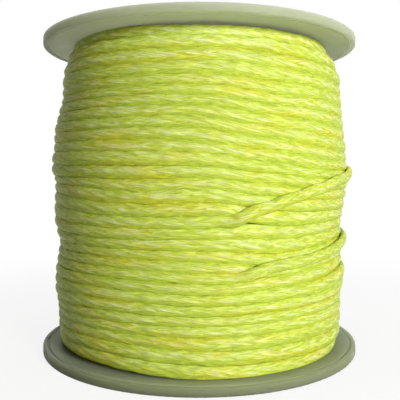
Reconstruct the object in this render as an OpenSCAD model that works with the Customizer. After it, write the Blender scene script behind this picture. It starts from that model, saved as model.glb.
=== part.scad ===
// Spool of braided line: two moulded flanges on a core tube, filled with line.
// Millimetres. +Z runs up the spool's axis, and the origin is the centre of the
// lower flange's outer face, on which the spool stands.

/* [Spool] */
// Diameter of both flanges
flange_d = 65; // [60:0.5:90]
// Height over both outer faces
spool_h = 63.6; // [50:0.2:100]
// Thickness of a flange at its rim
rim_t = 1.7; // [1.4:0.1:3]
// Width of the raised land round the rim
rim_land = 2.6; // [1.6:0.1:5]
// Radius that rounds the rim's two edges
rim_round = 0.35; // [0.1:0.05:0.6]
// Width of the lip round an inner face
lip_w = 0.7; // [0.6:0.05:1.2]
// Width of the groove inside the lip
groove_w = 0.6; // [0.5:0.05:1.5]
// Depth of that groove
groove_depth = 0.3; // [0.1:0.05:0.4]
// Depth of the label recess in an outer face
recess_depth = 0.4; // [0.2:0.05:0.6]

/* [Core and hubs] */
// Outer diameter of the core tube
core_d = 32; // [30:0.5:40]
// Wall of the core tube
core_wall = 1.6; // [1.2:0.1:2]
// Bore for the spindle
bore_d = 11; // [8:0.5:12]
// Wall of the hub round the bore
hub_wall = 1.8; // [1.2:0.1:2]
// Chamfer at the mouth of the bore
bore_chamfer = 0.6; // [0.2:0.1:1]
// Length of hub and spigot inside the core
spigot_len = 9; // [6:0.5:16]
// Wall of the spigot
spigot_wall = 1.5; // [1:0.1:1.8]
// Radial clearance between spigot and core tube
spigot_gap = 0.05; // [0.03:0.01:0.15]
// Chamfer at the spigot's lead-in end
spigot_lead = 0.6; // [0.2:0.1:0.8]
// Number of ribs from hub to spigot
rib_count = 6; // [6:3:9]
// Thickness of a rib
rib_t = 1.2; // [0.8:0.1:1.6]
// Step from the spigot's end down to the ribs
rib_step = 1; // [0.5:0.1:2]

/* [Keys and holes] */
// Number of keys that stop a flange turning on the core
key_count = 3; // [2:1:4]
// Width of a key
key_w = 3; // [2:0.1:4]
// Length of a key along the axis
key_len = 4; // [2:0.1:5]
// How much a key stands out of the spigot
key_proud = 1.1; // [0.6:0.1:1.1]
// Clearance of a key in its slot
key_gap = 0.1; // [0.05:0.01:0.2]
// Number of drive holes round the bore
drive_count = 3; // [3:3:3]
// Diameter of a drive hole
drive_d = 4; // [2.5:0.1:4.2]
// Diameter of the hole that the line starts from
start_hole_d = 3; // [2:0.1:4]
// Wall left between the start hole and the core tube
start_hole_wall = 0.7; // [0.4:0.1:2]

/* [Line] */
// Diameter of the braided line
line_d = 1.95; // [1.6:0.05:2]
// Turns in the outer layer
layer_turns = 22; // [18:1:22]
// Turns laid steeply across the outer layer
cross_turns = 1.75; // [1.25:0.25:1.75]
// Rise of one crossing turn
cross_pitch = 21.5; // [14:0.5:28]
// How far the outer layer's surface lies inside the rim
fill_below_rim = 3.1; // [3:0.1:8]
// Least gap between neighbouring turns
turn_gap = 0.45; // [0.42:0.01:0.6]
// Clearance between the line and what it lies on
line_gap = 0.3; // [0.2:0.05:0.5]
// How far the winding draws in at the upper flange
upper_drop = 3; // [1:0.1:4]
// Height over which it draws in there
upper_shoulder = 13; // [8:0.5:16]
// How far the winding draws in at the lower flange
lower_drop = 1.4; // [0.5:0.1:2]
// Height over which it draws in there
lower_shoulder = 6; // [5:0.5:12]

/* [Hidden] */

FULL_TURN = 360;
START_ANGLE = 90;     // where the start hole lies round the flange
OVERRUN = 1;          // how far a cutting solid runs past what it cuts
BORE_SIDES = 96;
RIM_SIDES = 180;
CORNER_SIDES = 24;

// Colours
PLASTIC = [0.80, 0.83, 0.76];
CORE_PLASTIC = [0.86, 0.88, 0.83];
LINE = [0.80, 0.92, 0.22];
PACK = [0.70, 0.84, 0.18];

// Flange and core
flange_r = flange_d / 2;
core_r = core_d / 2;
core_in_r = core_r - core_wall;
core_len = spool_h - 2 * rim_t;
bore_r = bore_d / 2;
hub_r = bore_r + hub_wall;
spigot_r = core_in_r - spigot_gap;
spigot_in_r = spigot_r - spigot_wall;
drive_pcd = hub_r + spigot_in_r;
recess_in_r = core_r + start_hole_wall / 2;
recess_out_r = flange_r - rim_land;
start_hole_place = core_r + start_hole_wall + start_hole_d / 2;
rib_turn = FULL_TURN / rib_count;
key_turn = FULL_TURN / key_count;

// Winding
RINGS_PER_TURN = 24;
TUBE_SIDES = 6;
PACK_STEPS = 28;
CLIMB_TURNS = 0.25;   // each side of the layer's end, the line climbs onto its own layer
FIRST_ANGLE = 90;     // where the outer layer leaves the turns below it
line_r = line_d / 2;
wind_r = flange_r - fill_below_rim - line_r;
wind_low = rim_t + line_gap + line_r;
wind_high = spool_h - wind_low;
layer_pitch = (wind_high - wind_low) / layer_turns;
all_turns = layer_turns + CLIMB_TURNS + cross_turns;
ring_total = round(all_turns * RINGS_PER_TURN);
chord_share = cos(FULL_TURN / 2 / RINGS_PER_TURN);

function unit(v) = v / norm(v);
function square_of(x) = x * x;
function ease(t) = t * t * (3 - 2 * t);

// How much a shoulder draws the winding in, at a distance from its flange
function drawn_in(distance, drop, shoulder) =
    drop * square_of(max(0, 1 - max(0, distance) / shoulder));

// Centreline radius of the outer layer at height z
function layer_r(z) =
    wind_r
    - drawn_in(wind_high - z, upper_drop, upper_shoulder)
    - drawn_in(z - wind_low, lower_drop, lower_shoulder);

// Step out to a turn that crosses the layer at height z, square to its slope
SLOPE_SPAN = 0.2;
function layer_slope(z) = (layer_r(z + SLOPE_SPAN) - layer_r(z - SLOPE_SPAN)) / (2 * SLOPE_SPAN);
function cross_step(z) =
    (line_d + turn_gap) / chord_share * sqrt(1 + square_of(layer_slope(z)));

// Height and radius of the line after t turns: down the layer, a climb, then up across it
function wind_z(t) =
    t <= layer_turns ? wind_high - layer_pitch * t
    : wind_low + cross_pitch * max(0, t - layer_turns - CLIMB_TURNS);
function climbed(t) = ease(min(1, max(0, (t - layer_turns + CLIMB_TURNS) / (2 * CLIMB_TURNS))));
function wind_radius(t) = layer_r(wind_z(t)) + climbed(t) * cross_step(wind_z(t));
function wind_point(t) =
    let (angle = FIRST_ANGLE + FULL_TURN * t, r = wind_radius(t))
    [r * cos(angle), r * sin(angle), wind_z(t)];
wind_points = [for (i = [0:ring_total]) wind_point(i / RINGS_PER_TURN)];

// The route with one straight tube diameter at each end
first_run = line_d * unit(wind_points[0] - wind_points[1]);
last_run = line_d * unit(wind_points[ring_total] - wind_points[ring_total - 1]);
route = concat(
    [wind_points[0] + first_run],
    wind_points,
    [wind_points[ring_total] + last_run]
);

// Least distance between parts of the route that lie about a whole turn apart
function near_turns(i) = [
    for (turn = [1:ceil(all_turns)], shift = [-2:2])
    let (j = i + turn * RINGS_PER_TURN + shift)
    if (j <= ring_total) norm(wind_points[i] - wind_points[j])
];
self_distances = [
    for (i = [0:ring_total - RINGS_PER_TURN - 2]) min(near_turns(i))
];
least_self_gap = min(self_distances) - line_d;
echo(least_gap_between_turns = least_self_gap);

// Rings of the tube: each stands square to the route, with one corner pointing outwards
function along(path, i) = unit(path[min(i + 1, len(path) - 1)] - path[max(i - 1, 0)]);
function outwards(p) = unit([p.x, p.y, 0]);
function ring(path, i, r) =
    let (
        ahead = along(path, i),
        out = unit(outwards(path[i]) - (outwards(path[i]) * ahead) * ahead),
        up = cross(ahead, out)
    )
    [
        for (k = [0:TUBE_SIDES - 1])
        path[i] + r * (cos(k * FULL_TURN / TUBE_SIDES) * out + sin(k * FULL_TURN / TUBE_SIDES) * up)
    ];

// A closed tube of triangles along a path
module tube(path, r) {
    rings = len(path);
    last = (rings - 1) * TUBE_SIDES;
    wall = [
        for (i = [0:rings - 2], k = [0:TUBE_SIDES - 1])
        let (
            a = i * TUBE_SIDES + k,
            b = i * TUBE_SIDES + (k + 1) % TUBE_SIDES
        )
        each [[a, a + TUBE_SIDES, b], [b, a + TUBE_SIDES, b + TUBE_SIDES]]
    ];
    first_cap = [for (k = [1:TUBE_SIDES - 2]) [0, k, k + 1]];
    last_cap = [for (k = [1:TUBE_SIDES - 2]) [last, last + k + 1, last + k]];
    polyhedron(
        points = [for (i = [0:rings - 1]) each ring(path, i, r)],
        faces = concat(wall, first_cap, last_cap)
    );
}

// Outline of the groove in the inner face, narrower at its floor, with the lip left outside it
module groove_outline() {
    outer = flange_r - lip_w;
    floor_z = rim_t - groove_depth;
    polygon([
        [outer - groove_w + groove_depth / 2, floor_z],
        [outer - groove_depth / 2, floor_z],
        [outer, rim_t],
        [outer, rim_t + OVERRUN],
        [outer - groove_w, rim_t + OVERRUN],
        [outer - groove_w, rim_t]
    ]);
}

// The flange's plate, with rounded rim edges, the label recess in its outer face and the
// groove in its inner face
module flange_plate() {
    rotate_extrude($fn = RIM_SIDES)
        difference() {
            union() {
                square([flange_r - rim_round, rim_t]);
                translate([0, rim_round])
                    square([flange_r, rim_t - 2 * rim_round]);
                for (edge = [rim_round, rim_t - rim_round])
                    translate([flange_r - rim_round, edge])
                        circle(r = rim_round, $fn = CORNER_SIDES);
            }
            translate([recess_in_r, -OVERRUN])
                square([recess_out_r - recess_in_r, OVERRUN + recess_depth]);
            groove_outline();
        }
}

// The spigot that the core tube slides over, chamfered where it enters
module spigot() {
    top = rim_t + spigot_len;
    rotate_extrude($fn = RIM_SIDES)
        polygon([
            [spigot_in_r, rim_t - recess_depth / 2],
            [spigot_r, rim_t - recess_depth / 2],
            [spigot_r, top - spigot_lead],
            [spigot_r - spigot_lead, top],
            [spigot_in_r, top]
        ]);
}

// Ribs between hub and spigot
module ribs() {
    for (i = [0:rib_count - 1])
        rotate(rib_turn * (i + 0.5))
            translate([(bore_r + hub_r) / 2, -rib_t / 2, rim_t - recess_depth / 2])
                cube([
                    (spigot_in_r + spigot_r - bore_r - hub_r) / 2,
                    rib_t,
                    recess_depth / 2 + spigot_len - rib_step
                ]);
}

// Keys on the spigot. grow widens them all round, to cut their slots
module keys(grow = 0) {
    for (i = [0:key_count - 1])
        rotate(key_turn * i)
            translate([spigot_r - spigot_wall / 2, -key_w / 2 - grow, rim_t - OVERRUN / 2])
                cube([
                    spigot_wall / 2 + key_proud + (grow > 0 ? core_wall : 0),
                    key_w + 2 * grow,
                    OVERRUN / 2 + key_len + grow
                ]);
}

// The spindle's bore, with a chamfered mouth
module spindle_bore() {
    translate([0, 0, -OVERRUN])
        cylinder(r = bore_r, h = rim_t + spigot_len + 2 * OVERRUN, $fn = BORE_SIDES);
    translate([0, 0, -OVERRUN])
        cylinder(
            r1 = bore_r + bore_chamfer + OVERRUN,
            r2 = bore_r,
            h = bore_chamfer + OVERRUN,
            $fn = BORE_SIDES
        );
}

// A round hole through the plate, at a radius and an angle
module plate_hole(d, place, angle) {
    rotate(angle)
        translate([place, 0, -OVERRUN])
            cylinder(d = d, h = rim_t + 2 * OVERRUN, $fn = BORE_SIDES);
}

// One flange, outer face down at z = 0. Both flanges are this moulding
module flange() {
    difference() {
        union() {
            flange_plate();
            cylinder(r = hub_r, h = rim_t + spigot_len, $fn = BORE_SIDES);
            spigot();
            ribs();
            keys();
        }
        spindle_bore();
        for (i = [0:drive_count - 1])
            plate_hole(drive_d, drive_pcd / 2, FULL_TURN / drive_count * i);
        plate_hole(start_hole_d, start_hole_place, START_ANGLE);
    }
}

// Puts a flange at the top, outer face up
module at_top() {
    translate([0, 0, spool_h])
        rotate([FULL_TURN / 2, 0, 0])
            children();
}

module lower_flange() {
    color(PLASTIC) flange();
}

module upper_flange() {
    color(PLASTIC) at_top() flange();
}

// The tube that the line is wound on, slotted at both ends for the keys
module core_tube() {
    color(CORE_PLASTIC)
        difference() {
            translate([0, 0, rim_t])
                cylinder(r = core_r, h = core_len, $fn = RIM_SIDES);
            translate([0, 0, rim_t - OVERRUN])
                cylinder(r = core_in_r, h = core_len + 2 * OVERRUN, $fn = RIM_SIDES);
            keys(key_gap);
            at_top() keys(key_gap);
        }
}

// The inner layers of line, as one solid under the outer layer
module line_pack() {
    low = rim_t + line_gap;
    high = spool_h - low;
    outline = [
        for (i = [0:PACK_STEPS])
        let (z = low + (high - low) * i / PACK_STEPS)
        [layer_r(z) * chord_share - line_r - line_gap, z]
    ];
    color(PACK)
        rotate_extrude($fn = RIM_SIDES)
            polygon(concat(
                [[core_r + line_gap, high], [core_r + line_gap, low]],
                outline
            ));
}

// The outer layer and the turns that cross it, as one unbroken length of line
module line_outer_turns() {
    color(LINE) tube(route, line_r);
}

upper_flange();
lower_flange();
core_tube();
line_pack();
line_outer_turns();
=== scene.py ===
"""A spool of braided neon line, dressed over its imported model.

The winding is laid turn by turn: the line is traversed down the drum and back across it,
settles on the layer below under its own tension, and is then braided from its strands.
Lengths in the classes are millimetres; MM turns them to the scene's metres.
"""

from __future__ import annotations

import logging
import math
from collections.abc import Callable
from dataclasses import dataclass
from enum import Enum

import bpy
import numpy as np
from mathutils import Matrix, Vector


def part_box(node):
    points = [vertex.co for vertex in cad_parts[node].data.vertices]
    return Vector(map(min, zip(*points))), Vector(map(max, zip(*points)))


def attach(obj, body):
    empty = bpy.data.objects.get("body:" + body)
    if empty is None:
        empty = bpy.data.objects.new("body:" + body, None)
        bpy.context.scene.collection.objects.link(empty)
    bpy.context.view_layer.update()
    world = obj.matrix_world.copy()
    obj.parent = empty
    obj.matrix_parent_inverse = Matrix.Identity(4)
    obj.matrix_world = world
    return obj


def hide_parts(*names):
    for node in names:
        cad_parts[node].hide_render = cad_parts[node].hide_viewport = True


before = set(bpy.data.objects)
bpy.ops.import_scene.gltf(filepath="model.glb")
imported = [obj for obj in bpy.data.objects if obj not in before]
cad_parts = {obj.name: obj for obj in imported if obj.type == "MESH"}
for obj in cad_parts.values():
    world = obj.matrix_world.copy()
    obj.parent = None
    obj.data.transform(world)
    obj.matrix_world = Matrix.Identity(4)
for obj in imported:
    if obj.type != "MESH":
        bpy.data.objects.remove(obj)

Array = np.ndarray
Pair = tuple[Array, Array]
Two = tuple[float, float]
Rows = tuple[tuple[float, float, float], ...]
Tree, Node, Socket = bpy.types.NodeTree, bpy.types.Node, bpy.types.NodeSocket
Piece = bpy.types.Object

MM = 0.001  # scene units in a millimetre
FULL_TURN = 2 * math.pi
START_ANGLE = math.pi / 2  # turns of line are counted from the spool's back
FAR = 1e4  # millimetres; further off than any turn
TINY = 1e-6
WHITE = "FFFFFF"
ROOT = "root"
STRAND_MAP = "Strand"  # across and along a strand, in millimetres
BAKE_MAP = "OFBake"  # the same strips, packed into one square
# The line's material paints its highlight and its shade by this value.
CROWN = "Crown"  # from 0 at a strand's edge to 1 on its crown
STRAND_SHIFT = 977.0  # millimetres between the patterns of two strands
MAP_MARGIN = 0.1  # share of a strip's height left bare at each side
ROW_RINGS = 256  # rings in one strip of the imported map
BAND_RINGS = 2600  # rings of line in one piece
UNDER_RINGS = 110  # rings per turn of the layer below
UNDER_SIDES = 8
DRUM_ROWS = 40
DRUM_STEPS = 120
log = logging.getLogger("spool")


def linear(hex_colour: str) -> tuple[float, float, float, float]:
    """Turns an sRGB hex colour, such as "C8D850", to linear light with an alpha of 1."""
    parts = (int(hex_colour[i : i + 2], 16) / 255 for i in (0, 2, 4))
    return (*(c / 12.92 if c <= 0.04045 else ((c + 0.055) / 1.055) ** 2.4 for c in parts), 1.0)


def add_node(tree: Tree, kind: str, feeds: dict | None = None, **settings) -> Node:
    """Adds a node with its settings and links.

    Args:
        tree: the node tree that gets the node.
        kind: the node's type, such as "ShaderNodeTexNoise".
        feeds: input names or numbers, each with a value or the socket that feeds it.
        **settings: the node's own attributes.

    Returns:
        The new node.
    """
    node = tree.nodes.new(kind)
    for name, value in settings.items():
        setattr(node, name, value)
    for name, value in (feeds or {}).items():
        if isinstance(value, Socket):
            tree.links.new(value, node.inputs[name])
        else:
            node.inputs[name].default_value = value
    return node


def add_noise(tree: Tree, place: Socket, scale: float, detail: float, rough: float = 0.5) -> Node:
    """Adds a noise with so many cells to one unit of the place."""
    feeds = {"Vector": place, "Scale": scale, "Detail": detail, "Roughness": rough}
    return add_node(tree, "ShaderNodeTexNoise", feeds)


def mixed(tree: Tree, share: Socket, first: Socket | tuple, second: tuple) -> Socket:
    """Gives the socket of the first colour with a share of the second."""
    mix = add_node(tree, "ShaderNodeMix", {"Factor": share, "A": first, "B": second}, data_type="RGBA")
    return mix.outputs["Result"]


def graded(tree: Tree, value: Socket, reach: Two, to: Two = (0.0, 1.0), **settings) -> Socket:
    """Gives the socket of a value whose reach is mapped to another and held at both ends."""
    feeds = {"Value": value, "From Min": reach[0], "From Max": reach[1], "To Min": to[0], "To Max": to[1]}
    return add_node(tree, "ShaderNodeMapRange", feeds, **settings).outputs[0]


def combined(tree: Tree, first: Socket, second: Socket, operation: str) -> Socket:
    """Gives the socket of two values under an operation."""
    return add_node(tree, "ShaderNodeMath", {0: first, 1: second}, operation=operation).outputs[0]


def ease(share: Array) -> Array:
    """Smooth step from 0 to 1, with level ends."""
    held = np.clip(share, 0, 1)
    return held * held * (3 - 2 * held)


def ramp(values: Array, reach: Two) -> Array:
    """Smooth step from 0 at the start of a reach to 1 at its end."""
    return ease((values - reach[0]) / (reach[1] - reach[0]))


def smooth_noise(count: int, knots: int, rng: np.random.Generator) -> Array:
    """Draws noise that swings gently between -1 and 1.

    Args:
        count: how many values to give.
        knots: how many random values they pass through.
        rng: the seeded source of random values.

    Returns:
        The values, in order.
    """
    drawn = rng.uniform(-1, 1, knots + 1)
    place = np.linspace(0, knots, count)
    low = np.clip(place.astype(int), 0, knots - 1)
    return drawn[low] + (drawn[low + 1] - drawn[low]) * ease(place - low)


def resample(values: Array, places: Array) -> Array:
    """Reads evenly spaced values at fractional places, on a smooth curve through them.

    Args:
        values: one value per whole place.
        places: the places to read, as fractional indices.

    Returns:
        One value per place.
    """
    low = np.clip(np.floor(places).astype(int), 0, len(values) - 2)
    part = places - low
    before, here, there, after = (values[np.clip(low + k, 0, len(values) - 1)] for k in (-1, 0, 1, 2))
    return 0.5 * (
        2 * here
        + (there - before) * part
        + (2 * before - 5 * here + 4 * there - after) * part**2
        + (3 * here - before - 3 * there + after) * part**3
    )


# ---- finishes


@dataclass(frozen=True)
class Finish:
    """A material, as its name, colour and typical optical values."""

    name: str
    colour: str
    roughness: float
    ior: float = 1.5
    sheen_level: float = 0.5  # how much of the plain reflection is left

    def start(self, more: dict | None = None) -> tuple[bpy.types.Material, Tree, Node]:
        """Makes the material with its constants set.

        Args:
            more: further inputs of the Principled node, with their values.

        Returns:
            The material, its node tree and its Principled node.
        """
        material = bpy.data.materials.new(self.name)
        material.use_nodes = True
        shader = material.node_tree.nodes["Principled BSDF"]
        values = {"Roughness": self.roughness, "IOR": self.ior, "Specular IOR Level": self.sheen_level}
        for name, value in {"Base Color": linear(self.colour), **values, **(more or {})}.items():
            shader.inputs[name].default_value = value
        return material, material.node_tree, shader

    @staticmethod
    def bump(shader: Node, height: Socket, strength: float, depth_mm: float) -> None:
        """Raises and sinks the surface by a height that is fed in."""
        feeds = {"Height": height, "Strength": strength, "Distance": depth_mm * MM}
        bumped = add_node(shader.id_data, "ShaderNodeBump", feeds).outputs[0]
        shader.id_data.links.new(bumped, shader.inputs["Normal"])


@dataclass(frozen=True)
class NaturalPolypropylene(Finish):
    """Natural polypropylene: milky, so light from behind and from the line glows in it."""

    haze: str = "868E74"  # cloudier patches of the melt
    rim_shade: str = "989E82"  # painted shade: the outer edge drawn darker than the faces
    rim_r: Two = (31.95, 32.25)  # radii between which it begins
    depth_mm: float = 8.0  # how far light wanders
    blue_depth: float = 0.9  # share of that for blue light
    patch_mm: float = 22.0
    grain_mm: float = 0.5
    grain_depth_mm: float = 0.04
    grain_seen: float = 0.25
    scuff_mm: float = 5.0
    scuff_reach: Two = (0.35, 0.7)
    smoother: float = 0.08  # from the roughness, for the smooth places
    rougher: float = 0.16  # and for the scuffed ones

    def material(self) -> bpy.types.Material:
        """Builds the plastic.

        Returns:
            The material.
        """
        depth = {"Subsurface Weight": 1.0, "Subsurface Scale": self.depth_mm * MM}
        material, tree, shader = self.start({"Subsurface Radius": (1.0, 1.0, self.blue_depth), **depth})
        place = add_node(tree, "ShaderNodeTexCoord").outputs["Object"]
        patches = add_noise(tree, place, 1 / (self.patch_mm * MM), detail=3.0).outputs[0]
        tint = mixed(tree, patches, linear(self.colour), linear(self.haze))
        flat = add_node(tree, "ShaderNodeVectorMath", {0: place, 1: (1.0, 1.0, 0.0)}, operation="MULTIPLY")
        from_axis = add_node(tree, "ShaderNodeVectorMath", {0: flat.outputs[0]}, operation="LENGTH")
        # Painted shade: from these radii out, the edge is drawn in a darker tone.
        inner_r, outer_r = (radius * MM for radius in self.rim_r)
        shaded_rim = graded(tree, from_axis.outputs["Value"], (inner_r, outer_r))
        tree.links.new(mixed(tree, shaded_rim, tint, linear(self.rim_shade)), shader.inputs["Base Color"])
        scuffs = add_noise(tree, place, 1 / (self.scuff_mm * MM), detail=8.0, rough=0.7).outputs[0]
        between = (self.roughness - self.smoother, self.roughness + self.rougher)
        tree.links.new(graded(tree, scuffs, self.scuff_reach, between), shader.inputs["Roughness"])
        grain = add_noise(tree, place, 1 / (self.grain_mm * MM), detail=2.0).outputs[0]
        self.bump(shader, grain, self.grain_seen, self.grain_depth_mm)
        return material


@dataclass(frozen=True)
class FluorescentBraid(Finish):
    """Fluorescent multifilament, braided: fine filaments, with a painted pale highlight on the strands'
    crowns and painted shade at their edges.
    """

    edge_shade: str = "9CB62C"  # painted shade at strand edges and between turns
    pale: str = "EAF0B6"  # painted highlight on the strands' crowns
    warm: str = "DEDC44"  # yellower stretches of line
    edge_shade_share: float = 0.36  # share of the painted shade at a strand's edge
    highlight_paleness: float = 0.56  # most of the painted highlight on a strand's crown
    stretch_mm: float = 12.0  # length of a stretch of one tone
    stretch_turns_mm: float = 2.0  # and its height across the turns
    strand_tone_mm: float = 3.0  # length of a strand in one tone
    strand_tone_w_mm: float = 20.0
    filament_mm: float = 0.22  # width of a tuft of filaments
    filament_len_mm: float = 2.5
    filament_depth_mm: float = 0.05
    filament_seen: float = 0.6
    filament_tone: Two = (0.72, 1.22)  # of the darkest and the brightest tufts
    # From the least to the most of each tone, on its noise or on the crown
    warm_reach: Two = (0.48, 0.68)
    strand_reach: Two = (0.38, 0.6)
    stretch_reach: Two = (0.38, 0.55)
    filament_reach: Two = (0.3, 0.7)
    crown_reach: Two = (0.15, 0.7)
    edge_reach: Two = (0.0, 0.65)
    strand_least: float = 0.15  # painted highlight share left on the strands with the least of it
    stretch_least: float = 0.45  # and stretches

    def material(self) -> bpy.types.Material:
        """Builds the braided line's material, which reads the strand map in millimetres.

        Returns:
            The material.
        """
        material, tree, shader = self.start()
        place = add_node(tree, "ShaderNodeTexCoord").outputs["Object"]
        strand = add_node(tree, "ShaderNodeUVMap", uv_map=STRAND_MAP).outputs[0]
        level, upright = 1 / (self.stretch_mm * MM), 1 / (self.stretch_turns_mm * MM)
        tone = self.stretched(tree, place, (level, level, upright), detail=3.0)
        strand_cells = (1 / self.strand_tone_w_mm, 1 / self.strand_tone_mm, 1.0)
        strand_tone = self.stretched(tree, strand, strand_cells, detail=2.0).outputs[0]
        filament_cells = (1 / self.filament_mm, 1 / self.filament_len_mm, 1.0)
        filaments = self.stretched(tree, strand, filament_cells, detail=2.0).outputs[0]
        crown = add_node(tree, "ShaderNodeAttribute", attribute_name=CROWN).outputs["Fac"]
        warm_share = graded(tree, tone.outputs[0], self.warm_reach)
        warmed = mixed(tree, warm_share, linear(self.colour), linear(self.warm))
        # Painted highlight: a pale tone on the strands' crowns, varied by strand and by stretch.
        pale_strand = graded(tree, strand_tone, self.strand_reach, (self.strand_least, 1.0))
        pale_stretch = graded(tree, tone.outputs["Color"], self.stretch_reach, (self.stretch_least, 1.0))
        crown_highlight = graded(tree, crown, self.crown_reach, (0.0, self.highlight_paleness))
        highlight_share = combined(tree, pale_strand, pale_stretch, "MULTIPLY")
        highlighted = mixed(tree, combined(tree, highlight_share, crown_highlight, "MULTIPLY"), warmed, linear(self.pale))
        # Painted shade: a darker tone at strand edges and between turns, where the crown value is low.
        edge_shaded = mixed(tree, graded(tree, crown, self.edge_reach, (self.edge_shade_share, 0.0)), highlighted, linear(self.edge_shade))
        bright = graded(tree, filaments, self.filament_reach, self.filament_tone)
        streaked = add_node(tree, "ShaderNodeVectorMath", {0: edge_shaded, 1: bright}, operation="MULTIPLY")
        tree.links.new(streaked.outputs[0], shader.inputs["Base Color"])
        self.bump(shader, filaments, self.filament_seen, self.filament_depth_mm)
        return material

    @staticmethod
    def stretched(tree: Tree, place: Socket, cells: tuple[float, float, float], detail: float) -> Node:
        """Adds a noise with so many cells to one unit of the place, in each direction."""
        scaled = add_node(tree, "ShaderNodeMapping", {"Vector": place, "Scale": cells})
        return add_noise(tree, scaled.outputs[0], 1.0, detail)


# ---- meshes


@dataclass
class TubeMesh:
    """One closed tube: rings of points along it, with maps that run along it."""

    points: Array  # rings, sides, 3
    along: Array  # millimetres from the start, one per ring
    around: float  # millimetres round the tube

    def build(self, name: str) -> Piece:
        """Makes the mesh.

        Args:
            name: the object's name.

        Returns:
            The object, linked to the scene.
        """
        rings, sides, _ = self.points.shape
        ring, side = np.meshgrid(np.arange(rings - 1), np.arange(sides), indexing="ij")
        at_ring = np.stack([ring, ring, ring + 1, ring + 1], -1)
        at_side = np.stack([side, side + 1, side + 1, side], -1)
        ends = [np.arange(sides)[::-1], (rings - 1) * sides + np.arange(sides)]
        corners = np.concatenate([(at_ring * sides + at_side % sides).ravel(), *ends])
        totals = np.concatenate([np.full(ring.size, 4), np.full(len(ends), sides)])
        mesh = bpy.data.meshes.new(name)
        mesh.vertices.add(rings * sides)
        mesh.vertices.foreach_set("co", (self.points * MM).astype(np.float32).ravel())
        mesh.loops.add(len(corners))
        mesh.loops.foreach_set("vertex_index", corners.astype(np.int32))
        mesh.polygons.add(len(totals))
        starts = np.concatenate([[0], np.cumsum(totals)[:-1]])
        mesh.polygons.foreach_set("loop_start", starts.astype(np.int32))
        mesh.polygons.foreach_set("loop_total", totals.astype(np.int32))
        mesh.polygons.foreach_set("use_smooth", np.ones(len(totals), dtype=bool))
        self.add_map(mesh, STRAND_MAP, *self.strand_map(at_ring, at_side))
        rows = -(-(rings - 1) // ROW_RINGS)
        row = (ring // ROW_RINGS)[..., None]
        height = (row + MAP_MARGIN + (1 - 2 * MAP_MARGIN) * at_side / sides) / rows
        self.add_map(mesh, BAKE_MAP, at_ring / ROW_RINGS - row, height)
        crowns = mesh.attributes.new(CROWN, "FLOAT", "POINT")
        crowns.data.foreach_set("value", self.crowns().astype(np.float32).ravel())
        mesh.update(calc_edges=True)
        return shown_as(name, mesh)

    def strand_map(self, at_ring: Array, at_side: Array) -> Pair:
        """Gives each face corner its place across and along the surface, in millimetres."""
        return at_side * self.around / self.points.shape[1], self.along[at_ring]

    def crowns(self) -> Array:
        """Puts each point halfway between a strand's edge and its crown."""
        return np.full(self.points.shape[:2], 0.5)

    @staticmethod
    def add_map(mesh: bpy.types.Mesh, name: str, first: Array, second: Array) -> None:
        """Adds a UV map.

        Args:
            mesh: the mesh that gets it.
            name: the map's name.
            first: the first coordinate of each quad corner.
            second: the second coordinate of each quad corner.
        """
        values = np.zeros((len(mesh.loops), 2), dtype=np.float32)
        values[: first.size, 0] = first.ravel()
        values[: second.size, 1] = second.ravel()
        mesh.uv_layers.new(name=name).data.foreach_set("uv", values.ravel())


@dataclass
class BraidMesh(TubeMesh):
    """The skin of a braid: each face's map follows the strand that lies on top there."""

    turned: Array  # angle of each side round the line, closed
    strands: Array  # angle of each strand: rings, strands
    top: Array  # strand on top: rings, sides
    crown: Array  # values of the CROWN attribute: rings, sides

    def strand_map(self, at_ring: Array, at_side: Array) -> Pair:
        """Gives each face corner its place across and along the strand on top, in millimetres.

        Args:
            at_ring: the ring of each corner.
            at_side: the side of each corner.

        Returns:
            The places across, and those along.
        """
        whose = self.top[at_ring[..., :1], at_side[..., :1]]
        off = (self.turned[at_side] - self.strands[at_ring, whose] + math.pi) % FULL_TURN - math.pi
        return off * self.around / FULL_TURN, self.along[at_ring] + STRAND_SHIFT * (whose + 1)

    def crowns(self) -> Array:
        """Gives how near each point lies to the crown of its strand."""
        return self.crown

    def part(self, start: int, end: int) -> BraidMesh:
        """Cuts out the skin from one ring to another, both kept."""
        keep = slice(start, end + 1)
        maps = self.turned, self.strands[keep], self.top[keep], self.crown[keep]
        return BraidMesh(self.points[keep], self.along[keep], self.around, *maps)


def shown_as(name: str, mesh: bpy.types.Mesh) -> Piece:
    """Gives a mesh an object that is linked to the scene."""
    piece = bpy.data.objects.new(name, mesh)
    bpy.context.scene.collection.objects.link(piece)
    return piece


def revolve(name: str, profile: list[Two], steps: int) -> Piece:
    """Revolves a closed profile about the spool's axis.

    Args:
        name: the object's name.
        profile: radius and height of each corner, in millimetres.
        steps: how many steps go round.

    Returns:
        The object, linked to the scene.
    """
    count = len(profile)
    points = []
    for angle in (FULL_TURN * k / steps for k in range(steps)):
        points += [(r * math.cos(angle), r * math.sin(angle), z) for r, z in profile]
    faces = []
    for k in range(steps):
        here, there = k * count, (k + 1) % steps * count
        for i in range(count):
            after = (i + 1) % count
            faces.append((here + i, there + i, there + after, here + after))
    mesh = bpy.data.meshes.new(name)
    mesh.from_pydata([[part * MM for part in point] for point in points], [], faces)
    mesh.polygons.foreach_set("use_smooth", [True] * len(faces))
    mesh.update()
    return shown_as(name, mesh)


# ---- line


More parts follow.
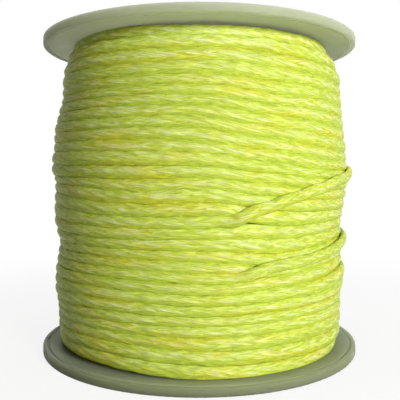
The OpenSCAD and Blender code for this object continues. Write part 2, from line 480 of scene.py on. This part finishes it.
@dataclass
class Route:
    """A stretch of line: its centre points with the directions that the braid is built on."""

    points: Array  # millimetres: n, 3
    out: Array  # away from the drum: n, 3
    side: Array  # across the line: n, 3
    along: Array  # millimetres from the start
    room: Array  # half widths above and below: n, 2
    raised: Array  # from 0 in the layer to 1 on top of it

    @classmethod
    def through(cls, points: Array, room: Array, raised: Array) -> Route:
        """Finds the directions along a row of points around the drum's axis.

        Args:
            points: the centre points, n by 3.
            room: the room above and below each point, n by 2.
            raised: from 0 for line that lies in the layer to 1 for line on top of it.

        Returns:
            The route.
        """
        ahead = np.gradient(points, axis=0)
        ahead /= np.linalg.norm(ahead, axis=1, keepdims=True)
        out = points * (1, 1, 0)
        out -= (out * ahead).sum(1, keepdims=True) * ahead
        out /= np.linalg.norm(out, axis=1, keepdims=True)
        steps = np.linalg.norm(np.diff(points, axis=0), axis=1)
        along = np.concatenate([[0], np.cumsum(steps)])
        return cls(points, out, np.cross(ahead, out), along, room, raised)


@dataclass
class BraidedLine:
    """Line braided from sixteen strands, eight each way, that pass over two and under two."""

    diameter: float = 1.95
    each_way: int = 8
    lay: float = 42.0  # length in which a strand goes once round
    tighter: float = 0.8  # how much shorter that is on top of the layer
    strand_w: float = 0.72
    strand_t: float = 0.16
    fatter: float = 0.27  # share by which a strand widens and narrows
    uneven: float = 0.08  # millimetres by which it rises and sinks
    stray: float = 0.25  # radians by which it wanders round the line
    drift: float = 0.25  # radians by which the rows of strands do
    flat_wave: float = 0.45  # of a strand's rise and dip; 1 is a sine, less is flatter
    leading: float = 0.2  # share of the rise by which the first way lies prouder
    blend: float = 0.025  # millimetres over which strands round into each other
    # The line as it lies under tension
    pressed: float = 0.69  # thickness, as a share of the diameter
    spread: float = 1.05  # and width
    squareness: float = 1.95  # power of the pressed outline; 2 is an oval
    widening: float = 0.4  # how far strands move round to the pressed line's face
    bulge: float = 0.25  # how much faster the sides fill the room than the face does
    scallop: float = 0.02  # share of the room that gaps between strands leave free
    lap: float = 0.15  # millimetres by which turns press into each other
    # Where the crowns keep their value: the material paints a pale highlight there and shade where it is low
    face: float = -0.3  # radians from outward, downwards
    face_w: float = 0.95  # radians over which they do
    face_drift: float = 0.3  # radians by which that place wanders
    weaker: float = 0.7  # share for the strands of the second way
    rounder: float = 0.6  # how much wider that is on top of the layer
    clearer: float = 1.5  # how much narrower the painted highlight is there
    # Millimetres of line from one random value to the next
    fatter_each: float = 5.0
    uneven_each: float = 4.0
    stray_each: float = 6.0
    drift_each: float = 31.0
    face_each: float = 23.0
    sides: int = 38
    outward: float = 0.45  # how much closer they lie on the outward face
    seed: int = 11

    @property
    def width(self) -> float:
        """Width of the line as it lies on the drum."""
        return self.diameter * self.spread

    @property
    def thickness(self) -> float:
        """Thickness of the line as it lies on the drum."""
        return self.diameter * self.pressed

    @property
    def rise(self) -> float:
        """How far a strand rises and dips from the middle of the skin."""
        return self.strand_t / 2

    @property
    def middle(self) -> float:
        """Radius of the middle of the skin, before the line is pressed."""
        return self.diameter / 2 - self.strand_t / 2 - self.rise

    def braid(self, route: Route) -> BraidMesh:
        """Lays the strands along a route and finds the skin over them.

        Args:
            route: where the line lies.

        Returns:
            The skin, ready to build.
        """
        rng = np.random.default_rng(self.seed)

        def wander(each: float) -> Array:
            """Draws noise along the route, with a random value to so many millimetres."""
            return smooth_noise(len(route.points), max(2, int(route.along[-1] / each)), rng)

        share = np.linspace(-1, 1, self.sides + 1)
        turned = math.pi * share - self.outward * np.sin(math.pi * share)
        strands, domes, tops = self.strands(route, turned[:-1], wander)
        top = tops.argmax(-1)
        highest = tops.max(-1)
        skin = highest + self.blend * np.log(np.exp((tops - highest[..., None]) / self.blend).sum(-1))
        dome = np.take_along_axis(domes, top[..., None], -1)[..., 0]
        crown = dome * ease((skin - self.middle + self.rise) / (2 * self.rise + self.strand_t / 2))
        raised = route.raised[:, None]
        # The crown value places the painted highlight and the painted shade of the line's material.
        crown = crown ** (1 + self.clearer * raised) * np.where(top < self.each_way, 1, self.weaker)
        face = self.face + self.face_drift * wander(self.face_each)
        crown *= np.exp(-(((turned[:-1] - face[:, None]) / (self.face_w * (1 + self.rounder * raised))) ** 2))
        points = self.press(route, turned[:-1], skin, dome)
        return BraidMesh(points, route.along, FULL_TURN * self.middle, turned, strands, top, crown)

    def strands(self, route: Route, turned: Array, wander: Callable[[float], Array]) -> tuple[Array, ...]:
        """Lays the strands round the line, half of them each way.

        Args:
            route: where the line lies.
            turned: angle of each side round the line.
            wander: draws noise along the route.

        Returns:
            Each strand's angle at every ring, and its roundness and its height there at every side.
        """
        laid = np.diff(route.along, prepend=0) * (1 + self.tighter * route.raised)
        travel = np.cumsum(laid) / self.lay * FULL_TURN
        twist = math.pi / self.each_way + self.drift * wander(self.drift_each)
        angles, domes, tops = [], [], []
        for way, between in ((1, 0.0), (-1, 0.5)):
            for k in range(self.each_way):
                wide = 1 + self.fatter * wander(self.fatter_each)
                prouder = self.uneven * wander(self.uneven_each)
                angle = way * travel + twist + (k + between) * FULL_TURN / self.each_way
                strayed = angle + self.stray * wander(self.stray_each)
                row = np.sin(self.each_way / 2 * (angle - twist))
                crossing = self.leading - row / np.sqrt(self.flat_wave + (1 - self.flat_wave) * row**2)
                off = (turned[None] - strayed[:, None] + math.pi) % FULL_TURN - math.pi
                part = np.clip(off * self.middle / (self.strand_w / 2 * wide[:, None]), -1, 1)
                dome = np.sqrt(1 - part**2)
                height = self.middle + way * self.rise * crossing + prouder
                angles.append(angle)
                domes.append(dome)
                tops.append(height[:, None] + self.strand_t * (dome - 0.5))
        return np.stack(angles, -1), np.stack(domes, -1), np.stack(tops, -1)

    def press(self, route: Route, turned: Array, skin: Array, dome: Array) -> Array:
        """Presses the round skin flat and spreads it into the room between its neighbours.

        Args:
            route: where the line lies.
            turned: angle of each side round the line.
            skin: how far the skin lies from the line's centre, rings by sides.
            dome: how round the strand on top is there, rings by sides.

        Returns:
            The skin's points.
        """
        bent = turned - self.widening * np.sin(2 * turned) * np.sin(turned) ** 2
        up, over = np.cos(bent), np.sin(bent)
        skin = skin * (abs(up) ** self.squareness + abs(over) ** self.squareness) ** (-1 / self.squareness)
        room = np.where(over > 0, route.room[:, 1:], route.room[:, :1])
        out = self.pressed * skin * up
        across = skin * over * 2 / self.diameter
        full = room * (1 - self.scallop * (1 - dome)) + self.lap
        side = np.clip(room * across * (1 + self.bulge * across**2), -full, full)
        lifted = route.points[:, None] + out[..., None] * route.out[:, None]
        return lifted + side[..., None] * route.side[:, None]


# ---- winding


@dataclass
class Winding:
    """The line on the drum: a close layer under one that shows, and the last turns across it."""

    line: BraidedLine
    low: float
    high: float
    core_r: float
    shown_turns: float = 27.75
    samples: int = 160  # places round the drum at which it settles
    rings_per_turn: int = 420
    seed: int = 7
    # How the line is led down the drum
    wander: float = 0.7
    wander_knots: float = 5.3  # random values per turn
    tidy_edge: float = 7.0  # from a flange, within which they wander less
    swell: float = 1.0  # how far neighbours wander together
    swell_turns: float = 3.5
    swell_sides: int = 7
    gather: float = 1.2  # how far the turns draw together at one side
    gather_height: float = 33.0
    gather_reach: float = 6.0
    gather_fade: float = 18.0  # from the flanges, where they don't
    gather_side: float = 75.0  # degrees right of the front
    gather_width: float = 42.0
    # Turns of the layer after which a crossing turn lies in it, from the spool's back to its front
    slots: tuple[int, int] = (15, 19)
    slot_starts: float = 0.8  # turns later, from where the layer makes room
    slot_opens: Two = (0.0, 0.13)  # in turns from the back
    slot_closes: Two = (0.505, 0.58)
    slot_enters: Two = (0.03, 0.13)  # where the crossing turn comes to lie in it
    slot_leaves: Two = (0.5, 0.62)  # and where it climbs out
    # The layer below and the deepest layers
    under_wander: float = 0.25
    under_knots: int = 5
    under_depth: float = 0.85  # thicknesses below the shown layer
    drum_depth: float = 1.3
    drum_gap: float = 0.05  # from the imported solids
    # How the line settles, in small steps
    steps: int = 260
    straighter: Two = (0.35, 0.45)  # along the drum and outward
    led_back: float = 0.05  # towards where it is led
    drawn_down: float = 0.025  # millimetres by which tension draws it in
    turns_push: float = 0.3  # how far turns push each other apart
    under_push: float = 0.55  # and the layer below pushes them out
    gives: Two = (0.25, 0.75)  # in the layer and on top of it
    close: float = 0.9  # share of a width or thickness to which neighbours press together
    evenness: float = 0.12  # how firmly turns of the layer space themselves out
    flatness: float = 0.25  # share by which they even out to one surface
    slack: float = 0.3  # millimetres above the layer that still count as in it
    lies_in: float = 0.4  # thicknesses more while the line settles
    led_over: float = 0.5  # and for line that is led over the layer
    by_flange: float = 1.25  # widths from a flange, within which a turn lies beside it
    sinks: float = 0.2  # most that such a turn sinks
    leans: Two = (0.75, 0.9)  # half widths from the lower and the upper flange
    start_rise: float = 0.1  # turns in which the line comes up from below, at the top
    # Thicknesses above its neighbours, from line in the layer to line on top of it
    smoothed_below: Two = (0.3, 0.8)
    raised_from: Two = (0.4, 0.8)
    passes_over: Two = (0.35, 0.75)
    # Half width of a turn, as a share of the width
    most_spread: float = 0.6  # with room to spread
    top_spread: float = 0.43  # on top of the layer
    least_spread: float = 0.4
    spread_evens: int = 9  # samples over which it evens out
    # Surface of the full winding: height above the base, radius at the left, radius at the right
    surface: Rows = (
        (1.7, 28.5, 28.5), (4.2, 29.4, 29.4), (10.4, 29.6, 29.6), (13.7, 30.3, 29.8), (16.1, 30.1, 30.6),
        (18.2, 29.7, 29.7), (22.6, 29.2, 29.7), (26.7, 30.2, 29.6), (31.6, 30.4, 30.6), (35.2, 30.1, 31.0),
        (38.1, 31.1, 30.8), (41.3, 30.4, 30.8), (45.4, 30.2, 30.1), (51.1, 28.6, 29.7), (55.0, 28.7, 29.5),
        (58.0, 27.8, 28.2), (61.9, 25.8, 25.8),
    )
    # The way back up, behind the spool, in the layer, then over the front: turns from the layer's foot at
    # the right side, height above the base, thicknesses above the layer
    leads: Rows = (
        (0.0, 2.7, 0.0), (0.12, 5.2, 0.85), (0.2, 10.2, 0.85), (0.3, 16.8, 0.7), (0.37, 19.4, 0.2),
        (0.42, 19.5, 0.0), (0.74, 18.9, 0.0), (0.765, 19.0, 0.6), (0.79, 19.6, 0.95), (0.917, 22.3, 0.8),
        (1.0, 23.7, 0.85), (1.25, 27.6, 0.8), (1.33, 29.0, 0.5), (1.42, 29.3, 0.0), (1.735, 28.6, 0.0),
        (1.755, 28.9, 0.7), (1.785, 29.9, 1.0), (1.822, 31.4, 0.95), (1.867, 33.5, 0.85),
        (1.917, 34.9, 0.85), (1.96, 36.2, 0.85), (2.0, 36.8, 0.85), (2.15, 37.6, 0.85), (2.22, 38.4, 0.6),
        (2.32, 39.4, -0.9),
    )

    def layer_r(self, z: Array, right: Array | float = 0.5) -> Array:
        """Gives the radius of the shown layer's centreline.

        Args:
            z: heights, in millimetres.
            right: how far to the right, from 0 at the left side to 1 at the right side.

        Returns:
            One radius per height.
        """
        heights, at_left, at_right = np.array(self.surface).T
        left_r, right_r = np.interp(z, heights, at_left), np.interp(z, heights, at_right)
        return left_r + (right_r - left_r) * right - self.line.thickness / 2

    def level(self, z: Array) -> Array:
        """Gives the radius of the shown layer's centreline at each sample."""
        right = 0.5 + 0.5 * np.cos(START_ANGLE + np.arange(len(z)) / self.samples * FULL_TURN)
        return self.layer_r(z, right)

    def by_turns(self, values: Array, fill: float = FAR) -> Array:
        """Lays values out in one row per turn, with the last row filled up."""
        return np.append(values, np.full(-len(values) % self.samples, fill)).reshape(-1, self.samples)

    def under_layer(self) -> Pair:
        """Lays the layer below, wound the other way up.

        Returns:
            Heights and radii at every sample.
        """
        rng = np.random.default_rng(self.seed + 1)
        turns = int((self.high - self.low) / (self.line.width * self.close))
        count = turns * self.samples
        margin = self.line.width / 2
        z = np.linspace(self.low + margin, self.high - margin, count)
        z = z + self.under_wander * smooth_noise(count, turns * self.under_knots, rng)
        return z, self.level(z) - self.line.thickness * self.under_depth

    def drawn_in(self, z: Array) -> Array:
        """Draws the turns together where they gather at one side.

        Args:
            z: heights of the evenly laid turns, one per sample.

        Returns:
            The heights with that share added.
        """
        right = np.degrees(np.arange(len(z)) / self.samples * FULL_TURN) - 180 - self.gather_side
        right = (right + 180) % 360 - 180
        share = np.exp(-((right / self.gather_width) ** 2))
        share *= ease((z - self.low) / self.gather_fade) * ease((self.high - z) / self.gather_fade)
        return z - self.gather * np.tanh((z - self.gather_height) / self.gather_reach) * share

    def traverse(self) -> Pair:
        """Guides the line down the drum and back up across its front.

        Returns:
            Heights that the line is led to, and the radii that it starts from.
        """
        rng = np.random.default_rng(self.seed)
        margin = self.line.width / 2
        count = int(self.shown_turns * self.samples)
        turn = np.arange(count) / self.samples
        opened = ramp(turn % 1, self.slot_opens) * (1 - ramp(turn % 1, self.slot_closes))
        rank = turn + opened * sum(turn > slot + self.slot_starts for slot in self.slots)
        share = rank / (self.shown_turns + opened * len(self.slots))
        down = self.high - margin - (self.high - self.low - 2 * margin) * share
        strays = self.wander * smooth_noise(count, int(self.shown_turns * self.wander_knots), rng)
        strays += self.swell * self.swelling(turn, rng)
        off_low, off_high = (down - self.low) / self.tidy_edge, (self.high - down) / self.tidy_edge
        down = down + strays * ease(off_low) * ease(off_high)
        down = self.drawn_in(down)
        at, heights, lifts = np.array(self.leads).T
        turn = np.arange(int(at[-1] * self.samples)) / self.samples
        up = self.slotted(turn, np.interp(turn, at, heights), down)
        proud = np.interp(turn, at, lifts) * self.line.thickness
        z = np.concatenate([down, up])
        return z, self.level(z) + self.slack + np.concatenate([np.zeros(count), proud])

    def slotted(self, turn: Array, up: Array, down: Array) -> Array:
        """Holds the crossing turns halfway between their neighbours where they lie in the layer.

        Args:
            turn: turns from the layer's foot, one per sample.
            up: heights that the crossing turns are led to.
            down: heights of the layer's turns.

        Returns:
            The heights of the crossing turns.
        """
        past_back = (turn + self.shown_turns) % 1
        held = ramp(past_back, self.slot_enters) * (1 - ramp(past_back, self.slot_leaves))
        lap = np.floor(turn - past_back + TINY).astype(int)
        for k, slot in enumerate(reversed(self.slots)):
            above = np.round((slot + past_back) * self.samples).astype(int)
            off = (down[above] + down[above + self.samples]) / 2 - up
            leaves = np.argmax((lap == k) & (past_back >= self.slot_leaves[0]))
            off[leaves:] = off[leaves]
            up = up + np.where(lap == k, held * off, 0)
        return up

    def swelling(self, turn: Array, rng: np.random.Generator) -> Array:
        """Draws noise that neighbouring turns share.

        Args:
            turn: turns from the layer's top, one per sample.
            rng: the seeded source of random values.

        Returns:
            Values between -1 and 1, one per sample.
        """
        row, column = turn / self.swell_turns, turn % 1 * self.swell_sides
        drawn = rng.uniform(-1, 1, (int(row[-1]) + 2, self.swell_sides))
        above, before = row.astype(int), column.astype(int)
        down, along = ease(row - above), ease(column - before)
        after = (before + 1) % self.swell_sides
        upper = drawn[above, before] + (drawn[above, after] - drawn[above, before]) * along
        lower = drawn[above + 1, before] + (drawn[above + 1, after] - drawn[above + 1, before]) * along
        return upper + (lower - upper) * down

    def even_out(self, z: Array, r: Array) -> Array:
        """Presses the layer's turns towards one surface, and leaves those that lie on top of it.

        Args:
            z: heights, one per sample.
            r: radii, one per sample.

        Returns:
            The evened radii.
        """
        level = self.level(z)
        above = r - level
        usual = np.median(above)
        keep = 1 - self.flatness * (1 - ramp((above - usual) / self.line.thickness, self.smoothed_below))
        return level + usual + (above - usual) * keep

    def evened(self, grid_z: Array, lies: Array) -> Array:
        """Finds how far each turn of the layer lies from halfway between its neighbours.

        Args:
            grid_z: heights, turns by samples.
            lies: which of them lie in the layer, turns by samples.

        Returns:
            The distances, 0 for turns that have no neighbour on one side or lie on top.
        """
        order = np.argsort(np.where(lies, grid_z, FAR), axis=0)
        ranked = np.take_along_axis(np.where(lies, grid_z, np.nan), order, 0)
        off = np.zeros_like(grid_z)
        off[1:-1] = np.nan_to_num((ranked[:-2] + ranked[2:]) / 2 - ranked[1:-1])
        moves = np.zeros_like(grid_z)
        np.put_along_axis(moves, order, np.clip(off, -1, 1), 0)
        return moves

    def pushed(self, grid: Pair, others: Pair, firmness: Array | float) -> Array:
        """Finds how far turns are pushed by others that they lie too close to.

        Args:
            grid: heights and radii of the turns, turns by samples.
            others: the same of the turns that push them.
            firmness: how far they push, as a share of the overlap.

        Returns:
            The moves in height and in radius.
        """
        dz, dr = (own[:, None] - other[None] for own, other in zip(grid, others))
        apart = np.hypot(dz / self.line.width, dr / self.line.thickness) + TINY
        push = firmness * np.clip(self.close - apart, 0, None) / apart
        return np.stack([(push * dz).sum(1), (push * dr).sum(1)])

    def settle(self, z: Array, r: Array) -> Pair:
        """Lets the line's tension pull it in until its turns rest on each other.

        Args:
            z: heights that the line is led to.
            r: radii that it starts from.

        Returns:
            Heights and radii at rest.
        """
        wide, thick = self.line.width, self.line.thickness
        base = tuple(self.by_turns(part) for part in self.under_layer())
        led = z.copy()
        lifted = self.by_turns(r - self.level(z) > self.slack + self.led_over * thick, False)
        gives = np.where(lifted, self.gives[1], self.gives[0])
        share = 2 * gives[:, None] / (gives[:, None] + gives[None])
        lowest, highest = self.low + wide / 2 * self.leans[0], self.high - wide / 2 * self.leans[1]
        for _ in range(self.steps):
            z[1:-1] += self.straighter[0] * ((z[:-2] + z[2:]) / 2 - z[1:-1])
            r[1:-1] += self.straighter[1] * ((r[:-2] + r[2:]) / 2 - r[1:-1])
            z += self.led_back * (led - z)
            r -= self.drawn_down
            grid = self.by_turns(z), self.by_turns(r)
            lies = self.by_turns(r - self.level(z)) < self.slack + self.lies_in * thick
            moves = self.pushed(grid, grid, self.turns_push * share)
            moves += self.pushed(grid, base, self.under_push)
            moves[0] += self.evenness * self.evened(grid[0], lies)
            z += moves[0].ravel()[: len(z)]
            r += moves[1].ravel()[: len(r)]
            z = np.clip(z, lowest, highest)
            beside = np.minimum(z - self.low, self.high - z) < self.by_flange * wide
            r = np.where(beside, np.maximum(r, self.level(z) - self.sinks), r)
        rising = ease(np.arange(len(z)) / self.samples / self.start_rise)
        return z, self.even_out(z, r) - self.line.thickness * (1 - rising)

    def raised(self, z: Array, r: Array) -> Array:
        """Gives 0 for samples that lie in the layer and 1 for those on top of it."""
        return ramp((r - self.level(z)) / self.line.thickness, self.raised_from)

    def room(self, z: Array, r: Array) -> Array:
        """Finds how wide the soft line can spread before it meets its neighbours.

        Args:
            z: heights, one per sample.
            r: radii, one per sample.

        Returns:
            The room above and below each sample, as half widths.
        """
        wide = self.line.width
        grid_z, grid_r = self.by_turns(z), self.by_turns(r)
        dz = grid_z[None] - grid_z[:, None]
        lift = abs(grid_r[None] - grid_r[:, None]) / self.line.thickness
        reach = abs(dz) / 2 + wide * ramp(lift, self.passes_over)
        sides = [np.where(way * dz > 0, reach, FAR).min(1).ravel()[: len(z)] for way in (1, -1)]
        most = wide * (self.most_spread - (self.most_spread - self.top_spread) * self.raised(z, r))
        sides = [np.clip(half, self.least_spread * wide, most) for half in sides]
        padded = [np.pad(half, self.spread_evens // 2, mode="edge") for half in sides]
        evens = np.full(self.spread_evens, 1 / self.spread_evens)
        return np.stack([np.convolve(half, evens, "valid") for half in padded], 1)

    def route(self, z: Array, r: Array, rings_per_turn: int) -> Route:
        """Turns settled heights and radii into points round the drum.

        Args:
            z: heights, one per sample.
            r: radii, one per sample.
            rings_per_turn: how finely to follow them.

        Returns:
            The route.
        """
        count = int(len(z) / self.samples * rings_per_turn)
        place = np.linspace(0, len(z) - 1, count)
        angle = START_ANGLE + place / self.samples * FULL_TURN
        fine_r, fine_z = resample(r, place), resample(z, place)
        every = np.arange(len(z))
        room = np.stack([np.interp(place, every, half) for half in self.room(z, r).T], 1)
        raised = np.interp(place, every, self.raised(z, r))
        points = np.stack([fine_r * np.cos(angle), fine_r * np.sin(angle), fine_z], 1)
        return Route.through(points, room, raised)

    def build(self, shown: FluorescentBraid, inner: FluorescentBraid) -> None:
        """Makes the winding's pieces and puts them in place of the plain solids.

        Args:
            shown: the finish of the turns that show.
            inner: the finish of the layers under them.
        """
        whole = self.route(*self.settle(*self.traverse()), self.rings_per_turn)
        skin = self.line.braid(whole)
        shown_material, inner_material = shown.material(), inner.material()
        last = len(whole.points) - 1
        bands = -(-last // BAND_RINGS)
        for k in range(bands):
            part = skin.part(round(last * k / bands), round(last * (k + 1) / bands))
            self.keep(part.build(f"line_turns_{k + 1}"), shown_material, "line_outer_turns")
        under = self.route(*self.under_layer(), UNDER_RINGS)
        turned = np.arange(UNDER_SIDES) * FULL_TURN / UNDER_SIDES
        up, over = self.line.thickness / 2 * np.cos(turned), self.line.width / 2 * np.sin(turned)
        tube = up[:, None] * under.out[:, None] + over[:, None] * under.side[:, None]
        around = math.pi / 2 * (self.line.thickness + self.line.width)
        piece = TubeMesh(under.points[:, None] + tube, under.along, around).build("line_under_layer")
        self.keep(piece, inner_material, "line_pack")
        self.keep(self.drum(), inner_material, "line_pack")

    @staticmethod
    def keep(piece: Piece, material: bpy.types.Material, node: str) -> None:
        """Dresses a piece and lets it stand for a node.

        Args:
            piece: the finished piece.
            material: its material.
            node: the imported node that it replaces.
        """
        piece.data.materials.append(material)
        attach(piece, ROOT)
        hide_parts(node)
        log.info("%s: %d faces", piece.name, len(piece.data.polygons))

    def drum(self) -> Piece:
        """Makes the closed body of the deepest layers, which closes the gaps between turns.

        Returns:
            The object.
        """
        heights = np.linspace(self.low + self.drum_gap, self.high - self.drum_gap, DRUM_ROWS)
        outer = self.layer_r(heights) - self.line.thickness * self.drum_depth
        inner_r = self.core_r + self.drum_gap
        profile = [(inner_r, heights[-1]), (inner_r, heights[0]), *zip(outer, heights)]
        return revolve("line_drum", profile, DRUM_STEPS)


# ---- spool body


@dataclass
class SpoolBody:
    """The two flanges and the core tube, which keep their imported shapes."""

    upper: NaturalPolypropylene
    lower: NaturalPolypropylene
    core: NaturalPolypropylene

    def dress(self) -> None:
        """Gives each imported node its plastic."""
        finishes = {"upper_flange": self.upper, "lower_flange": self.lower, "core_tube": self.core}
        for name, finish in finishes.items():
            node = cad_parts[name]
            node.data.materials.clear()
            node.data.materials.append(finish.material())
            log.info("%s dressed", name)


# ---- studio


def seen_share(tree: Tree) -> Socket:
    """Gives 1 where a ray shows the background itself, and 0 where it only carries light.

    Args:
        tree: the node tree of the world or the floor.

    Returns:
        The socket that holds the share.
    """
    path = add_node(tree, "ShaderNodeLightPath").outputs
    mirrored = combined(tree, path["Is Glossy Ray"], path["Is Transmission Ray"], "MAXIMUM")
    return combined(tree, path["Is Camera Ray"], mirrored, "MAXIMUM")


class Side(Enum):
    """Which side of the camera a lamp stands on."""

    LEFT = -1
    RIGHT = 1


@dataclass(frozen=True)
class Lamp:
    """A soft, square, white lamp that faces the spool."""

    name: str
    side: Side
    around_deg: float  # from the camera's direction
    up_deg: float
    away: float
    size: float
    watts: float

    def build(self, target: Vector) -> None:
        """Places the lamp.

        Args:
            target: the point that it faces.
        """
        data = bpy.data.lights.new(self.name, "AREA")
        data.size = self.size * MM
        data.energy = self.watts
        lamp = bpy.data.objects.new(self.name, data)
        around = math.radians(self.around_deg * self.side.value)
        up = math.radians(self.up_deg)
        offset = Vector((math.sin(around) * math.cos(up), -math.cos(around) * math.cos(up), math.sin(up)))
        lamp.location = target + offset * self.away * MM
        lamp.rotation_euler = (-offset).to_track_quat("-Z", "Y").to_euler()
        bpy.context.scene.collection.objects.link(lamp)


@dataclass
class Studio:
    """Camera, lamps, white world and pale floor."""

    camera_away: float = 126.1
    camera_up: float = 35.9
    lens: float = 52.67
    sensor: float = 36.0
    shift_x: float = 0.0018
    shift_y: float = -0.0646
    nearest: float = 5.0  # from the camera, that is still drawn
    aim_up: float = 32.0  # height that the lamps face
    floor_size: float = 6000.0
    floor_gap: float = 0.02
    floor_tone: str = "C0C0C0"  # as a reflector; to the eye the floor is white
    floor_white: float = 0.86  # how far it outshines the shadow
    shadow_reach: Two = (40.0, 160.0)  # from the axis, over which the shadow is lost
    sky: str = "F2FFDC"
    ambient: float = 0.01

    def camera(self) -> None:
        """Creates the camera, level and close to the spool."""
        data = bpy.data.cameras.new("camera")
        data.lens = self.lens
        data.sensor_width = self.sensor
        data.sensor_fit = "HORIZONTAL"
        data.shift_x, data.shift_y = self.shift_x, self.shift_y
        data.clip_start = self.nearest * MM
        camera = bpy.data.objects.new("camera", data)
        camera.location = Vector((0, -self.camera_away, self.camera_up)) * MM
        camera.rotation_euler = (math.radians(90), 0, 0)
        bpy.context.scene.collection.objects.link(camera)
        bpy.context.scene.camera = camera

    def world(self) -> None:
        """Makes a world that is white to look at and dimmer as a light."""
        world = bpy.data.worlds.new("studio")
        bpy.context.scene.world = world
        world.use_nodes = True
        tree = world.node_tree
        tree.nodes.clear()
        dim = add_node(tree, "ShaderNodeBackground", {"Color": linear(self.sky), "Strength": self.ambient})
        white = add_node(tree, "ShaderNodeBackground", {"Color": linear(WHITE), "Strength": 1.0})
        feeds = {0: seen_share(tree), 1: dim.outputs[0], 2: white.outputs[0]}
        shown = add_node(tree, "ShaderNodeMixShader", feeds)
        add_node(tree, "ShaderNodeOutputWorld", {"Surface": shown.outputs[0]})

    def floor(self) -> None:
        """Lays a pale floor that keeps the spool's shadow."""
        half = self.floor_size / 2 * MM
        mesh = bpy.data.meshes.new("floor")
        corners = [(x * half, y * half, 0) for x, y in ((-1, -1), (1, -1), (1, 1), (-1, 1))]
        mesh.from_pydata(corners, [], [(0, 1, 2, 3)])
        floor = shown_as("floor", mesh)
        floor.location.z = -self.floor_gap * MM
        material = bpy.data.materials.new("pale_floor")
        material.use_nodes = True
        tree = material.node_tree
        tree.nodes.clear()
        seen = seen_share(tree)
        tone = mixed(tree, seen, linear(self.floor_tone), linear(WHITE))
        plain = add_node(tree, "ShaderNodeBsdfDiffuse", {"Color": tone})
        white = add_node(tree, "ShaderNodeEmission", {"Color": linear(WHITE), "Strength": 1.0})
        place = add_node(tree, "ShaderNodeTexCoord").outputs["Object"]
        away = add_node(tree, "ShaderNodeVectorMath", {0: place}, operation="LENGTH").outputs["Value"]
        near, far = (reach * MM for reach in self.shadow_reach)
        plainness = graded(tree, away, (near, far), (self.floor_white, 1.0), interpolation_type="SMOOTHSTEP")
        share = combined(tree, seen, plainness, "MULTIPLY")
        surface = add_node(tree, "ShaderNodeMixShader", {0: share, 1: plain.outputs[0], 2: white.outputs[0]})
        add_node(tree, "ShaderNodeOutputMaterial", {"Surface": surface.outputs[0]})
        mesh.materials.append(material)

    def build(self) -> None:
        """Sets up the whole studio."""
        bpy.context.scene.view_settings.view_transform = "Standard"
        self.camera()
        self.world()
        self.floor()
        target = Vector((0, 0, self.aim_up * MM))
        Lamp("key", Side.RIGHT, around_deg=33, up_deg=12, away=420, size=110, watts=1.66).build(target)
        Lamp("top", Side.LEFT, around_deg=180, up_deg=86, away=420, size=240, watts=0.8).build(target)
        log.info("studio ready")


def main() -> None:
    """Builds the studio, dresses the spool and winds the line."""
    logging.basicConfig(level=logging.INFO, format="%(name)s: %(message)s")
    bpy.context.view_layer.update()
    Studio().build()
    moulded = {"roughness": 0.42, "ior": 1.49, "sheen_level": 0.08}
    # Natural polypropylene, moulded: milky and satin, so its edges glow and its faces stay soft
    clear = "natural_polypropylene_moulded"
    upper = NaturalPolypropylene(clear, "C0C6AE", haze="B6BCA2", rim_shade="A8AE90", **moulded)
    # The same plastic drawn darker and greyer: painted shade for the lower flange
    shaded_moulded = "natural_polypropylene_moulded_painted_shade"
    lower = NaturalPolypropylene(shaded_moulded, "A4AA90", haze="9AA084", rim_shade="888E6E", **moulded)
    # Natural polypropylene, extruded: the same plastic, a little clearer and smoother
    extruded = {"roughness": 0.3, "ior": 1.49, "sheen_level": 0.4}
    core = NaturalPolypropylene("natural_polypropylene_extruded", "C4C8B4", **extruded)
    SpoolBody(upper, lower, core).dress()
    # Fluorescent multifilament, braided: a bright yellow-green, with painted pale highlights on the strands'
    # crowns and painted shade at their edges
    shown = FluorescentBraid("fluorescent_multifilament_braided", "D0E054", roughness=0.5, sheen_level=0.16)
    # The same line in the layers below: a plainer yellow-green, drawn darker as painted shade in the gaps
    inner = FluorescentBraid("fluorescent_multifilament_inner", "C4D444", roughness=0.6, sheen_level=0.3)
    foot, head = (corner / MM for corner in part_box("core_tube"))
    Winding(BraidedLine(), foot.z, head.z, head.x).build(shown, inner)
    log.info("sizes written")


if __name__ == "__main__":
    main()
